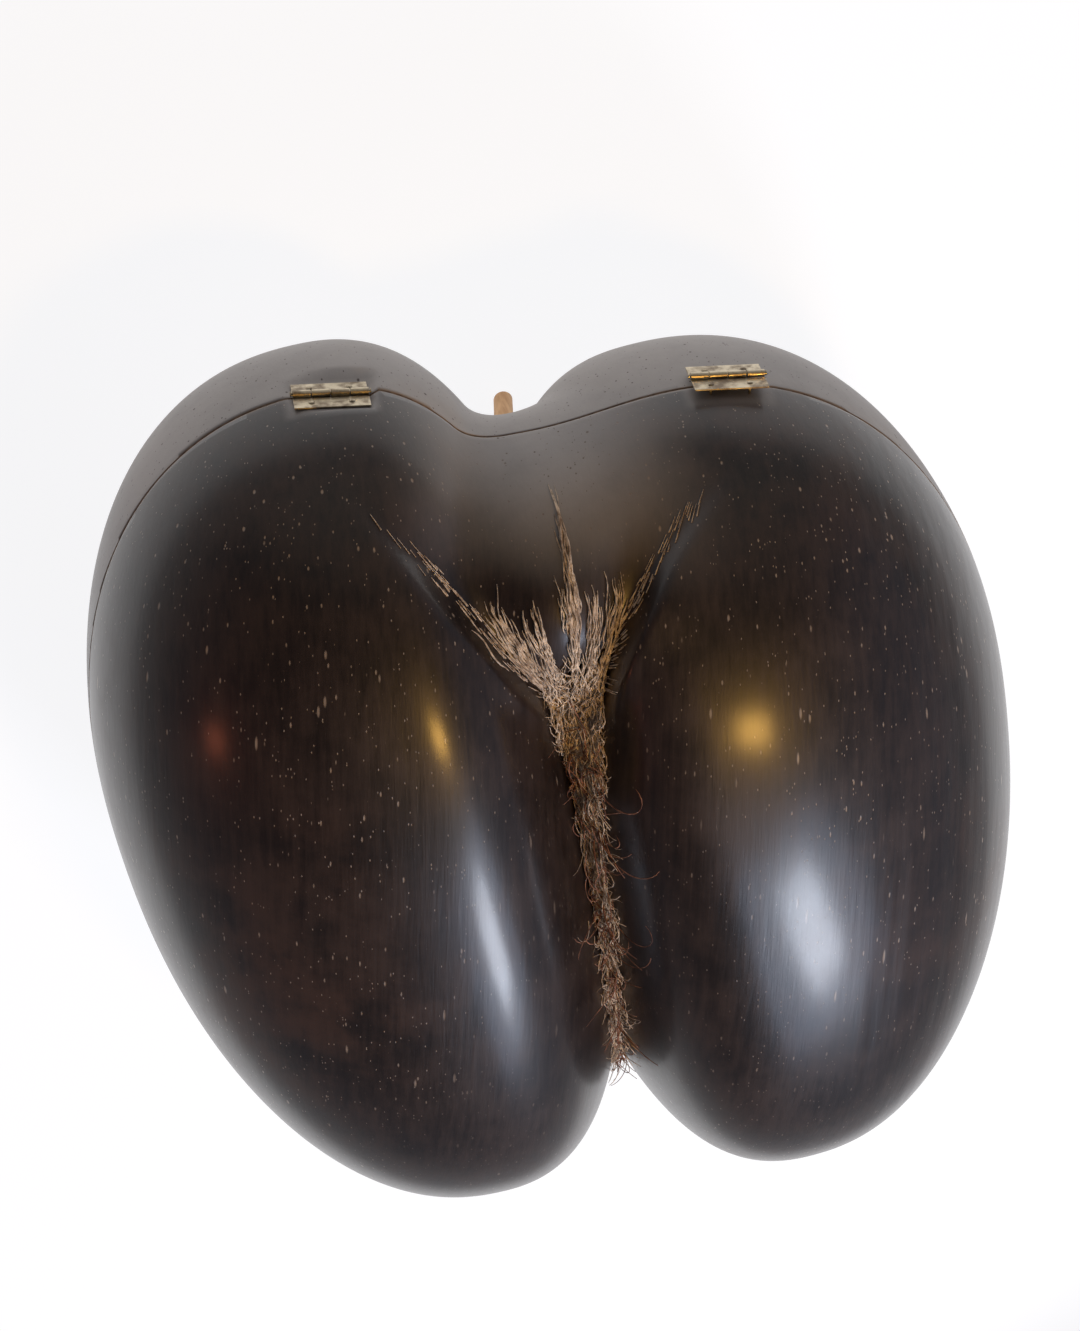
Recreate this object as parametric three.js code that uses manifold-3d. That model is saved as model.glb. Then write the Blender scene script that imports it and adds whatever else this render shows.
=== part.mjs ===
// Coco de mer seed sawn level into two hollow halves and hinged as a lidded box.
// Millimetres, +Z up. The seed lies on its back, lobes side by side along X, hinges at +Y.
import * as THREE from "three";
import Module from "manifold-3d";

const wasm = await Module();
wasm.setup();

// Seed, in its own frame: x across the lobes, y along them, z through the thickness.
// Each lobe is egg shaped, and its crest leans towards the groove on the front.
const LOBES = [
  { side: -1, cx: -62.7, cy: 0.1, outer: 79.2, inner: 72.7, top: 137.0, foot: 152.3,
    lean: 2.55, bend: -4.83, egg: 0.044, eggOuter: 0.032, eggInner: -0.076 },
  { side: 1, cx: 58.4, cy: -13.5, outer: 80.0, inner: 73.3, top: 132.7, foot: 145.8,
    lean: 5.6, bend: -5.17, egg: 0.042, eggOuter: 0.094, eggInner: -0.109 },
];
const FRONT_DEPTH = 92.7;
const BACK_DEPTH = 99.0;
const ROUNDNESS = 2.28;
const FRONT_PINCH = 0.22;
const CREST_SHIFT = 16;
const WEB = { y: 70, z: 10, across: 100, along: 43, front: 62, back: 50 };
const BLEND_LOBES = 5;
const BLEND_WEB = 8;
// Creases where the lobes stand proud of the pad between them: from (ax, ay) down to (bx, by).
const CREASES = [
  { side: -1, ax: -52, ay: 122, bx: -5, by: 45, bow: 3.5 },
  { side: 1, ax: 53, ay: 107, bx: 6, by: 50, bow: 9 },
];
const CREASE_DEPTH = 7;
const CREASE_REACH = 14;
const CREASE_EDGE = 4;
const HEART = [0, 10, 0];
const TURN = THREE.MathUtils.degToRad(8);

// Shell and saw cut.
const WALL = 6.5;
const SAW_Z = 10;
const KERF = 0.8;
const BELLY_FLAT_Z = -97.8;

// Hinges, in the turned frame, with the pins along X at the height of the saw cut.
const HINGE_X = [-72.2, 43.8];
const SEAT_Y = 125.8;
const CLEAR = 0.3;
const LEAF = { length: 22, width: 8, thick: 0.5 };
const SEAT = { length: 26, half: 9 };
const KNUCKLES = 4;
const KNUCKLE_R = 1.15;
const BORE_R = 0.75;
const PIN_R = 0.42;
const PIN_HEAD = { r: 0.8, h: 0.4 };
const NAIL = { head: 0.95, dome: 0.55, shank: 0.4, length: 4.2, hole: 0.78, inset: 5.2, drop: 4.8 };

// Wooden pegs under the notch: foot and top of each axis, seed frame.
const PEG_R = 3.1;
const PEG_SOCKET = 4;
const PEGS = [
  { name: "peg_pale", foot: [3.4, 71.3], top: [-2.5, 77.5, -46] },
  { name: "peg_dark", foot: [10.6, 63.6], top: [5.5, 66.5, -51] },
];

// Dry fibre left in the groove and fanned over the pad, plan outline in the seed frame.
const MAT_OUTLINE = [
  [-20, 84], [-15.5, 76], [-13, 90], [-9, 78], [-4.5, 84], [-2, 106], [2.4, 107], [4, 84], [8, 80],
  [11.5, 93],
  [15, 79], [12, 62], [8.5, 50], [5.6, 36], [4.8, -8], [4.6, -60], [6.4, -104], [-3.6, -103], [-4, -60],
  [-4.4, -8], [-6.5, 34], [-12, 56],
];
const MAT_THICK = 2.0;
const STRANDS = { loose: 12, fan: 7, radius: 0.75, sides: 4, steps: 9, seed: 41 };

const smoothMin = (a, b, k) => {
  const h = THREE.MathUtils.clamp(0.5 + (0.5 * (b - a)) / k, 0, 1);
  return b * (1 - h) + a * h - k * h * (1 - h);
};
const ramp = (x) => THREE.MathUtils.smoothstep(x, 0, 1);

// Distance-like value of one egg-shaped lobe, negative inside.
function lobe(l, x, y, z) {
  const dx = x - l.cx, dy = y - l.cy, lean = THREE.MathUtils.degToRad(l.lean);
  const v = -Math.sin(lean) * dx + Math.cos(lean) * dy;
  const front = THREE.MathUtils.clamp(z, 0, 100);
  const u = Math.cos(lean) * dx + Math.sin(lean) * dy - l.side * l.bend * (v / 100) ** 2
    + l.side * CREST_SHIFT * (front / FRONT_DEPTH) ** 2;
  const half = u * l.side > 0
    ? l.outer * (1 + (l.eggOuter * v) / 150)
    : l.inner * (1 + (l.eggInner * v) / 150) * (1 - (FRONT_PINCH * front) / 90);
  const taper = 1 + (l.egg * v) / 150;
  const q = Math.abs(u / (half * taper)) ** ROUNDNESS
    + Math.abs(v / (v > 0 ? l.top : l.foot)) ** ROUNDNESS
    + Math.abs(z / ((z > 0 ? FRONT_DEPTH : BACK_DEPTH) * taper)) ** ROUNDNESS;
  return (q ** (1 / ROUNDNESS) - 1) * 75;
}

// Depth of the creases that frame the pad on the front of the seed.
function crease(x, y, z) {
  let total = 0;
  for (const c of CREASES) {
    const ux = c.ax - c.bx, uy = c.ay - c.by, run = Math.hypot(ux, uy);
    const along = ((x - c.bx) * ux + (y - c.by) * uy) / run ** 2;
    const off = (c.side * ((y - c.by) * ux - (x - c.bx) * uy)) / run
      - c.bow * THREE.MathUtils.clamp(4 * along * (1 - along), 0, 1);
    const profile = off > 0 ? Math.exp(-((off / CREASE_REACH) ** 2)) : ramp(1 + off / CREASE_EDGE);
    total += profile * ramp((1.1 - along) / 0.8) * ramp((along + 0.3) / 0.4);
  }
  return CREASE_DEPTH * total * ramp((z - 15) / 20);
}

function seed(x, y, z) {
  const wz = z - WEB.z, depth = wz > 0 ? WEB.front : WEB.back;
  const web = (Math.hypot(x / WEB.across, (y - WEB.y) / WEB.along, wz / depth) - 1) * 55;
  const lobes = smoothMin(lobe(LOBES[0], x, y, z), lobe(LOBES[1], x, y, z), BLEND_LOBES);
  return smoothMin(lobes, web, BLEND_WEB) + crease(x, y, z);
}

// Halving search for the skin between a point inside and a point outside.
function skin(inside, outside) {
  let a = inside.clone(), b = outside.clone();
  for (let i = 0; i < 24; i++) {
    const m = a.clone().lerp(b, 0.5);
    if (seed(m.x, m.y, m.z) < 0) a = m; else b = m;
  }
  return a.lerp(b, 0.5);
}

function outward(p) {
  const e = 0.6;
  return new THREE.Vector3(
    seed(p.x + e, p.y, p.z) - seed(p.x - e, p.y, p.z),
    seed(p.x, p.y + e, p.z) - seed(p.x, p.y - e, p.z),
    seed(p.x, p.y, p.z + e) - seed(p.x, p.y, p.z - e),
  ).normalize();
}

function solidOf(geometry) {
  const g = geometry.clone();
  g.deleteAttribute("normal");
  g.deleteAttribute("uv");
  const merged = weld(g);
  const mesh = new wasm.Mesh({
    numProp: 3,
    vertProperties: new Float32Array(merged.getAttribute("position").array),
    triVerts: new Uint32Array(merged.index.array),
  });
  mesh.merge();
  return new wasm.Manifold(mesh);
}

// Joins corners that share a place, and drops faces that collapse.
function weld(geometry) {
  const pos = geometry.getAttribute("position");
  const order = geometry.index ? geometry.index.array : Array.from({ length: pos.count }, (_, i) => i);
  const seen = new Map(), points = [], faces = [];
  const at = (i) => {
    const key = [pos.getX(i), pos.getY(i), pos.getZ(i)].map((n) => Math.round(n * 1e4)).join(",");
    if (!seen.has(key)) {
      seen.set(key, points.length / 3);
      points.push(pos.getX(i), pos.getY(i), pos.getZ(i));
    }
    return seen.get(key);
  };
  for (let i = 0; i < order.length; i += 3) {
    const [a, b, c] = [at(order[i]), at(order[i + 1]), at(order[i + 2])];
    if (a !== b && b !== c && c !== a) faces.push(a, b, c);
  }
  const out = new THREE.BufferGeometry();
  out.setAttribute("position", new THREE.Float32BufferAttribute(points, 3));
  out.setIndex(faces);
  return out;
}

function geometryOf(solid) {
  const mesh = solid.getMesh();
  const g = new THREE.BufferGeometry();
  g.setAttribute("position", new THREE.Float32BufferAttribute(Float32Array.from(mesh.vertProperties), 3));
  g.setIndex(Array.from(mesh.triVerts));
  return g;
}

// A closed skin round the heart of the seed, moved out (or in, when negative) by offset.
// The poles are the far sides of the lobes and the columns crowd together at the groove.
function skinSolid(columns, rows, offset) {
  const heart = new THREE.Vector3(...HEART);
  const place = (t, turn) => {
    const phi = Math.PI * t + 0.3 * Math.sin(2 * Math.PI * t);
    const r = Math.sin(phi);
    const dir = new THREE.Vector3(-Math.cos(phi), r * Math.cos(turn), r * Math.sin(turn));
    const p = skin(heart, heart.clone().addScaledVector(dir, 260));
    return p.addScaledVector(outward(p), offset).toArray();
  };
  const points = [place(0, 0)];
  for (let i = 1; i < columns; i++) {
    for (let j = 0; j < rows; j++) points.push(place(i / columns, (2 * Math.PI * j) / rows));
  }
  points.push(place(1, 0));
  const at = (i, j) => 1 + (i - 1) * rows + (j % rows);
  const faces = [];
  for (let j = 0; j < rows; j++) {
    faces.push(0, at(1, j + 1), at(1, j));
    for (let i = 1; i < columns - 1; i++) {
      faces.push(at(i, j), at(i, j + 1), at(i + 1, j + 1), at(i, j), at(i + 1, j + 1), at(i + 1, j));
    }
    faces.push(points.length - 1, at(columns - 1, j), at(columns - 1, j + 1));
  }
  const g = new THREE.BufferGeometry();
  g.setAttribute("position", new THREE.Float32BufferAttribute(points.flat(), 3));
  g.setIndex(faces);
  return solidOf(g);
}

function box(x0, x1, y0, y1, z0, z1) {
  const g = new THREE.BoxGeometry(x1 - x0, y1 - y0, z1 - z0);
  return solidOf(g.translate((x0 + x1) / 2, (y0 + y1) / 2, (z0 + z1) / 2));
}

// A round bar between two points.
function bar(from, to, radius, sides) {
  const a = new THREE.Vector3(...from), b = new THREE.Vector3(...to);
  const g = new THREE.CylinderGeometry(radius, radius, a.distanceTo(b), sides);
  const way = b.clone().sub(a).normalize();
  g.applyQuaternion(new THREE.Quaternion().setFromUnitVectors(new THREE.Vector3(0, 1, 0), way));
  const m = a.lerp(b, 0.5);
  return solidOf(g.translate(m.x, m.y, m.z));
}

function turned(solid) {
  return solidOf(geometryOf(solid).rotateZ(TURN));
}

const group = new THREE.Group();
const finishes = {
  shell: { color: 0x2c211d, roughness: 0.35, metalness: 0 },
  fibre: { color: 0x756659, roughness: 0.95, metalness: 0 },
  brass: { color: 0x9a8768, roughness: 0.4, metalness: 1 },
  pale: { color: 0xc08048, roughness: 0.7, metalness: 0 },
  dark: { color: 0x5d4330, roughness: 0.8, metalness: 0 },
};
function add(name, solid, finish) {
  const mesh = new THREE.Mesh(geometryOf(solid), new THREE.MeshStandardMaterial(finishes[finish]));
  mesh.name = name;
  group.add(mesh);
}

// The whole hollow seed, before the saw.
const outer = skinSolid(44, 48, 0);
const hollow = outer.subtract(skinSolid(30, 32, -WALL));

// Pegs stand on the table and plug blind holes on the underside of the web.
let pegHoles = null;
const pegSolids = PEGS.map((p) => {
  const foot = new THREE.Vector3(...p.foot, BELLY_FLAT_Z - 3), top = new THREE.Vector3(...p.top);
  const up = top.clone().sub(foot).normalize();
  const root = skin(top.clone().addScaledVector(up, 12), top.clone().addScaledVector(up, -30));
  const end = root.clone().addScaledVector(up, PEG_SOCKET);
  const hole = bar(root.clone().addScaledVector(up, -8).toArray(),
    end.clone().addScaledVector(up, CLEAR).toArray(), PEG_R + CLEAR, 14);
  pegHoles = pegHoles ? pegHoles.add(hole) : hole;
  const floor = box(-60, 60, 0, 120, BELLY_FLAT_Z, 60);
  return bar(foot.toArray(), end.toArray(), PEG_R, 14).intersect(floor);
});

// Hinge seats filed flat on both halves, and the nail holes.
const nailSpots = [];
for (const hx of HINGE_X) {
  for (const half of [-1, 1]) {
    for (const sx of [-1, 1]) {
      const x = hx + sx * (LEAF.length / 2 - NAIL.inset);
      nailSpots.push({ hx, half, x, z: SAW_Z + half * NAIL.drop });
    }
  }
}
let seats = null;
for (const hx of HINGE_X) {
  const x0 = hx - SEAT.length / 2, x1 = hx + SEAT.length / 2;
  const cut = box(x0, x1, SEAT_Y, SEAT_Y + 20, SAW_Z - SEAT.half, SAW_Z + SEAT.half);
  seats = seats ? seats.add(cut) : cut;
}
for (const n of nailSpots) {
  const bottom = SEAT_Y - NAIL.length - CLEAR + 1.2;
  seats = seats.add(bar([n.x, SEAT_Y + 2, n.z], [n.x, bottom, n.z], NAIL.hole, 8));
}

const whole = turned(hollow.subtract(pegHoles)).subtract(seats);
add("bottom_shell", whole.intersect(box(-300, 300, -300, 300, BELLY_FLAT_Z, SAW_Z - KERF / 2)), "shell");
add("lid_shell", whole.intersect(box(-300, 300, -300, 300, SAW_Z + KERF / 2, 300)), "shell");

// Fibre: a thin mat in the groove with strands rooted in it.
const plan = new THREE.Shape(MAT_OUTLINE.map(([x, y]) => new THREE.Vector2(x, y)));
const curtain = new THREE.ExtrudeGeometry(plan, { depth: 80, bevelEnabled: false }).translate(0, 0, 20);
let fibre = solidOf(curtain).intersect(skinSolid(44, 48, MAT_THICK));

let state = STRANDS.seed;
function random() {
  state = (state * 1664525 + 1013904223) % 4294967296;
  return state / 4294967296;
}
const between = (a, b) => a + (b - a) * random();
const above = (x, y, lift) => {
  const p = skin(new THREE.Vector3(x, y, 12), new THREE.Vector3(x, y, 130));
  return p.add(new THREE.Vector3(0, 0, lift));
};
function strand(points) {
  const path = new THREE.CatmullRomCurve3(points);
  const ring = new THREE.Shape();
  for (let i = 0; i < STRANDS.sides; i++) {
    const a = (2 * Math.PI * i) / STRANDS.sides;
    ring[i ? "lineTo" : "moveTo"](STRANDS.radius * Math.cos(a), STRANDS.radius * Math.sin(a));
  }
  const sweep = { steps: STRANDS.steps, extrudePath: path, bevelEnabled: false };
  return solidOf(new THREE.ExtrudeGeometry(ring, sweep));
}
// Loose strands lie down the groove and curl out of it at their free ends.
for (let i = 0; i < STRANDS.loose; i++) {
  const y0 = between(-92, 20), reach = between(20, 34), curl = between(4, 12) * (random() < 0.3 ? -1 : 1);
  const points = [0, 0.3, 0.65, 1].map((t) => {
    const x = between(-1, 1.5) + curl * t * t, y = y0 - reach * t + 5 * t * t;
    return above(x, y, t === 0 ? 0.2 : 1.2 + 3.2 * t * between(0.6, 1.1));
  });
  fibre = fibre.add(strand(points));
}
// Fan strands climb from the mat onto the pad.
for (let i = 0; i < STRANDS.fan; i++) {
  const x0 = -12 + (22 * i) / (STRANDS.fan - 1), spread = between(1.0, 1.5), reach = between(24, 40);
  const points = [0, 0.4, 0.75, 1].map((t) => above(x0 * (1 + (spread - 1) * t) + between(-1, 1),
    58 + reach * t, 1.0 + 0.6 * Math.sin(3 * t)));
  fibre = fibre.add(strand(points));
}
fibre = fibre.subtract(skinSolid(44, 48, CLEAR));
const pieces = fibre.decompose().sort((a, b) => b.volume() - a.volume());
add("groove_fibre", turned(pieces[0]), "fibre");

PEGS.forEach((p, i) => add(p.name, turned(pegSolids[i]), i ? "dark" : "pale"));

// Each hinge: two leaves with interleaved knuckles, and a pin headed at both ends.
const axisY = SEAT_Y + CLEAR + KNUCKLE_R;
const knuckleLength = (LEAF.length - CLEAR * (KNUCKLES - 1)) / KNUCKLES;
HINGE_X.forEach((hx, h) => {
  const label = h ? "right" : "left";
  for (const [half, who] of [[1, "lid"], [-1, "bottom"]]) {
    const zs = [SAW_Z + half * (KNUCKLE_R + CLEAR), SAW_Z + half * LEAF.width].sort((a, b) => a - b);
    const back = SEAT_Y + CLEAR;
    let leaf = box(hx - LEAF.length / 2, hx + LEAF.length / 2, back, back + LEAF.thick, ...zs);
    for (let k = half > 0 ? 0 : 1; k < KNUCKLES; k += 2) {
      const x0 = hx - LEAF.length / 2 + k * (knuckleLength + CLEAR), x1 = x0 + knuckleLength;
      const neck = [SAW_Z, SAW_Z + half * (KNUCKLE_R + CLEAR + 0.4)].sort((a, b) => a - b);
      leaf = leaf.add(bar([x0, axisY, SAW_Z], [x1, axisY, SAW_Z], KNUCKLE_R, 14));
      leaf = leaf.add(box(x0, x1, back, back + LEAF.thick, ...neck));
    }
    leaf = leaf.subtract(bar([hx - 20, axisY, SAW_Z], [hx + 20, axisY, SAW_Z], BORE_R, 12));
    nailSpots.filter((n) => n.hx === hx && n.half === half).forEach((n, i) => {
      leaf = leaf.subtract(bar([n.x, back - 2, n.z], [n.x, back + 4, n.z], NAIL.hole, 8));
      const face = back + LEAF.thick + CLEAR;
      const profile = [[0, -NAIL.length], [NAIL.shank, -NAIL.length + 0.8], [NAIL.shank, 0], [NAIL.head, 0],
        [NAIL.head * 0.8, NAIL.dome * 0.6], [NAIL.head * 0.4, NAIL.dome * 0.95], [0, NAIL.dome]];
      const nail = new THREE.LatheGeometry(profile.map(([r, y]) => new THREE.Vector2(r, y)), 8);
      add(`nail_${label}_${who}_${i + 1}`, solidOf(nail.translate(n.x, face, n.z)), "brass");
    });
    add(`leaf_${label}_${who}`, leaf, "brass");
  }
  const end = LEAF.length / 2 + CLEAR;
  let pin = bar([hx - end - 0.2, axisY, SAW_Z], [hx + end + 0.2, axisY, SAW_Z], PIN_R, 12);
  for (const s of [-1, 1]) {
    const inner = [hx + s * end, axisY, SAW_Z], outerEnd = [hx + s * (end + PIN_HEAD.h), axisY, SAW_Z];
    pin = pin.add(bar(inner, outerEnd, PIN_HEAD.r, 12));
  }
  add(`pin_${label}`, pin, "brass");
});

// Stand the object on the table, centred over the origin.
const bounds = new THREE.Box3().setFromObject(group);
const middle = bounds.getCenter(new THREE.Vector3());
group.children.forEach((m) => {
  m.geometry.translate(-middle.x, -middle.y, -bounds.min.z);
  m.geometry.computeVertexNormals();
});

export default group;
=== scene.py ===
import math
import random

import bmesh
import bpy
import numpy as np
from mathutils import Matrix, Vector


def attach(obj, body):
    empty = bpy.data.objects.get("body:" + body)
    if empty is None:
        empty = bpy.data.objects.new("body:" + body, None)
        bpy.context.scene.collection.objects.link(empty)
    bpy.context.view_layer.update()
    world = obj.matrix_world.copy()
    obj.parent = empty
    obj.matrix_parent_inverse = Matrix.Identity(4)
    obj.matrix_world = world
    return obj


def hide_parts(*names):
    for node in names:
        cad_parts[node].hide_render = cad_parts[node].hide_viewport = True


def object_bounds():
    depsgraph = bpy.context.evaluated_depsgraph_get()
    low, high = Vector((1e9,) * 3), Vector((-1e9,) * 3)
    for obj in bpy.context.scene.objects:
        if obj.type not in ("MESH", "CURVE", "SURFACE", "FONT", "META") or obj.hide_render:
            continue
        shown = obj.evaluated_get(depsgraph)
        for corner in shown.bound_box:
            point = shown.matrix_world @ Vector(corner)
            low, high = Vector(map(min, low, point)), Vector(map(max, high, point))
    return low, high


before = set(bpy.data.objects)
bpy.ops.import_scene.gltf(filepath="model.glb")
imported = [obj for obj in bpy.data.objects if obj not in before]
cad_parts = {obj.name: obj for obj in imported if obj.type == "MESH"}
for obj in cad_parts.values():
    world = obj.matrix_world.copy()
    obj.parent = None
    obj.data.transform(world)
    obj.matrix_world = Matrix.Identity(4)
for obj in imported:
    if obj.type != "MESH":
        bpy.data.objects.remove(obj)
cad_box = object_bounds()
scene = bpy.context.scene

# Camera. It looks down on the lid from beyond the hinged end, so the hinges are at the
# top of the picture and the seed lies a little below its middle.
CAMERA_PLACE = Vector((-0.13807, 0.53151, 0.94204))
CAMERA_AIM = Vector((-0.0062, 0.04261, 0.1))
CAMERA_ROLL = math.radians(-1.17)
CAMERA_LENS = 86.55
camera_data = bpy.data.cameras.new("camera")
camera_data.lens = CAMERA_LENS
camera = bpy.data.objects.new("camera", camera_data)
backward = (CAMERA_PLACE - CAMERA_AIM).normalized()
across = Vector((0, 1, 0)).cross(backward).normalized()
upward = backward.cross(across)
facing = Matrix((across, upward, backward)).transposed().to_4x4()
camera.matrix_world = Matrix.Translation(CAMERA_PLACE) @ facing @ Matrix.Rotation(-CAMERA_ROLL, 4, "Z")
scene.collection.objects.link(camera)
scene.camera = camera
scene.view_settings.view_transform = "Standard"


# Lights. A tall soft window stands beyond the foot of the seed with the sky round it. A
# small warm lamp hangs above the seed, and a smaller red one glows low on its left.
def pane(name, place, aim, wide, tall, power, colour):
    data = bpy.data.lights.new(name, "AREA")
    data.shape, data.size, data.size_y = "RECTANGLE", wide, tall
    data.energy, data.color = power, colour
    lamp = bpy.data.objects.new(name, data)
    lamp.location = place
    lamp.rotation_euler = (Vector(place) - Vector(aim)).to_track_quat("Z", "Y").to_euler()
    scene.collection.objects.link(lamp)


pane("window", place=(0.65, -0.86, 1.20), aim=(0, 0, 0.15), wide=0.30, tall=0.42, power=12.0,
     colour=(0.82, 0.88, 1.0))
pane("sky", place=(0.74, -1.02, 1.32), aim=(0, 0, 0.15), wide=1.0, tall=1.0, power=9.0,
     colour=(0.60, 0.72, 1.0))
pane("warm_lamp", place=(0.28, 0.05, 1.20), aim=(0, 0.05, 0.15), wide=0.13, tall=0.18, power=4.2,
     colour=(1.0, 0.55, 0.12))
pane("red_lamp", place=(-0.465, -0.045, 0.312), aim=(-0.11, 0.06, 0.17), wide=0.042, tall=0.048,
     power=0.06, colour=(1.0, 0.25, 0.12))

# Room. It is dim overhead, which keeps the polished crests dark. The wall behind the
# hinged end is pale, and the right side of the room is a little bluish.
ROOM_LEVEL, ROOM_OVERHEAD = (0.135, 0.14, 0.17, 1), (0.05, 0.05, 0.055, 1)
OVERHEAD_FROM = 0.75
WALLS = (("Y", 0.45, (0.40, 0.38, 0.36, 1)), ("X", 0.45, (0.26, 0.29, 0.37, 1)))
world = bpy.data.worlds.new("room")
world.use_nodes = True
scene.world = world
room = world.node_tree
room_place = room.nodes.new("ShaderNodeTexCoord")
room_axes = room.nodes.new("ShaderNodeSeparateXYZ")
room_ramp = room.nodes.new("ShaderNodeValToRGB")
room.links.new(room_place.outputs["Generated"], room_axes.inputs[0])
room.links.new(room_axes.outputs["Z"], room_ramp.inputs[0])
level, overhead = room_ramp.color_ramp.elements
level.position, level.color = 0.0, ROOM_LEVEL
overhead.position, overhead.color = OVERHEAD_FROM, ROOM_OVERHEAD
glow = room_ramp.outputs["Color"]
for axis, low, colour in WALLS:
    nearness = room.nodes.new("ShaderNodeMapRange")
    nearness.interpolation_type = "SMOOTHSTEP"
    nearness.inputs["From Min"].default_value = low
    room.links.new(room_axes.outputs[axis], nearness.inputs["Value"])
    wall = room.nodes.new("ShaderNodeMix")
    wall.data_type = "RGBA"
    wall.inputs[7].default_value = colour
    room.links.new(nearness.outputs["Result"], wall.inputs[0])
    room.links.new(glow, wall.inputs[6])
    glow = wall.outputs[2]
room.links.new(glow, room.nodes["Background"].inputs["Color"])
room.nodes["Background"].inputs["Strength"].default_value = 1.0


# Floor. A wide sheet of pale paper lies under the seed. It glows as painted light, bright round the seed and
# falling off to grey away from it.
# Its finish and all the later ones are made with Finish, whose values take plain arithmetic.
class Value:
    """The output of one node. Arithmetic on it adds Math nodes."""

    def __init__(self, finish, socket):
        self.finish = finish
        self.socket = socket

    def _math(self, operation, *values, clamp=False):
        settings = {"operation": operation, "use_clamp": clamp}
        return self.finish.node("Math", settings, dict(enumerate(values)))

    def __add__(self, other):
        return self._math("ADD", self, other)

    def __radd__(self, other):
        return self._math("ADD", other, self)

    def __sub__(self, other):
        return self._math("SUBTRACT", self, other)

    def __rsub__(self, other):
        return self._math("SUBTRACT", other, self)

    def __mul__(self, other):
        return self._math("MULTIPLY", self, other)

    def __gt__(self, other):
        return self._math("GREATER_THAN", self, other)

    def __abs__(self):
        return self._math("ABSOLUTE", self)

    def clamped(self):
        return self._math("ADD", self, 0.0, clamp=True)

    def ramp(self, low, high):
        """0 at low and 1 at high, smooth between."""
        settings = {"interpolation_type": "SMOOTHSTEP"}
        return self.finish.node("MapRange", settings, {"Value": self, "From Min": low, "From Max": high})


class Finish:
    """One material."""

    def __init__(self, name, **constants):
        self.material = bpy.data.materials.new(name)
        self.material.use_nodes = True
        self.tree = self.material.node_tree
        self.shader = self.tree.nodes["Principled BSDF"]
        for key, value in constants.items():
            self.shader_input(key).default_value = value
        self.place = self.node("TexCoord", out="Object")

    def shader_input(self, key):
        return self.shader.inputs[key.replace("_", " ").title().replace("Ior", "IOR")]

    def node(self, kind, settings=None, sockets=None, out=0):
        made = self.tree.nodes.new("ShaderNode" + kind)
        for key, value in (settings or {}).items():
            setattr(made, key, value)
        for key, value in (sockets or {}).items():
            self.feed(made.inputs[key], value)
        return Value(self, made.outputs[out])

    def feed(self, socket, value):
        if isinstance(value, Value):
            self.tree.links.new(value.socket, socket)
        elif socket.type == "RGBA":
            socket.default_value = (*value, 1.0)
        else:
            socket.default_value = value

    def axis(self, letter):
        return self.node("SeparateXYZ", {}, {"Vector": self.place}, letter)

    def noise(self, scale, detail=3.0, rough=0.5, place=None):
        sockets = {"Vector": place or self.place, "Scale": scale, "Detail": detail, "Roughness": rough}
        return self.node("TexNoise", {}, sockets, "Fac")

    def stretched(self, scale, turn=0.0):
        return self.node("Mapping", {}, {"Vector": self.place, "Scale": scale, "Rotation": (0, 0, turn)})

    def blend(self, first, second, factor):
        return self.node("Mix", {"data_type": "RGBA"}, {0: factor, 6: first, 7: second}, 2)

    def bump(self, height, depth):
        return self.node("Bump", {}, {"Height": height, "Distance": depth, "Strength": 1.0})

    def finish(self, **links):
        for key, value in links.items():
            self.feed(self.shader_input(key), value)


FLOOR_HALF_SIDE = 4.0
PAPER_LIT, PAPER_DIM = (0.985, 0.985, 1.0), (0.20, 0.20, 0.21)
PAPER_LIGHT_FALLOFF_FROM, PAPER_LIGHT_FALLOFF_TO = 0.36, 0.58
paper = Finish("paper", base_color=(0.16, 0.16, 0.16, 1), roughness=1.0, specular_ior_level=0.0,
               emission_strength=0.905)
from_middle = paper.node("VectorMath", {"operation": "LENGTH"}, {"Vector": paper.place}, "Value")
# The glow is painted light: lit paper near the middle, dim grey further out.
paper_light_falloff = from_middle.ramp(PAPER_LIGHT_FALLOFF_FROM, PAPER_LIGHT_FALLOFF_TO)
paper.finish(emission_color=paper.blend(PAPER_LIT, PAPER_DIM, paper_light_falloff))
floor_bm = bmesh.new()
bmesh.ops.create_grid(floor_bm, x_segments=1, y_segments=1, size=FLOOR_HALF_SIDE)
floor_mesh = bpy.data.meshes.new("floor")
floor_bm.to_mesh(floor_mesh)
floor_bm.free()
floor_mesh.materials.append(paper.material)
floor = bpy.data.objects.new("floor", floor_mesh)
scene.collection.objects.link(floor)

# Seed shell. One hard nut, grown as two egg-shaped lobes joined by a web, and sawn level
# into a bottom and a lid. Both halves are scraped hollow. The skin is found by searching
# outwards from the heart of the seed, in millimetres in the seed's own frame.
METRE = 1000
LOBES = (
    dict(side=-1, cx=-62.7, cy=0.1, outer=79.2, inner=72.7, top=137.0, foot=152.3,
         lean=2.55, bend=-4.83, egg=0.044, egg_outer=0.032, egg_inner=-0.076),
    dict(side=1, cx=58.4, cy=-13.5, outer=80.0, inner=73.3, top=132.7, foot=145.8,
         lean=5.6, bend=-5.17, egg=0.042, egg_outer=0.094, egg_inner=-0.109),
)
LOBE_SIZE = 75
FRONT_DEPTH, BACK_DEPTH, FRONT_LIMIT = 92.7, 99.0, 100
ROUNDNESS, FRONT_PINCH, CREST_SHIFT = 2.28, 0.22, 16.0
BEND_SPAN, EGG_SPAN, PINCH_SPAN = 100, 150, 90
WEB = dict(y=70.0, z=10.0, across=100.0, along=43.0, front=62.0, back=50.0, size=55)
LOBE_BLEND, WEB_BLEND = 5, 8
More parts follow.
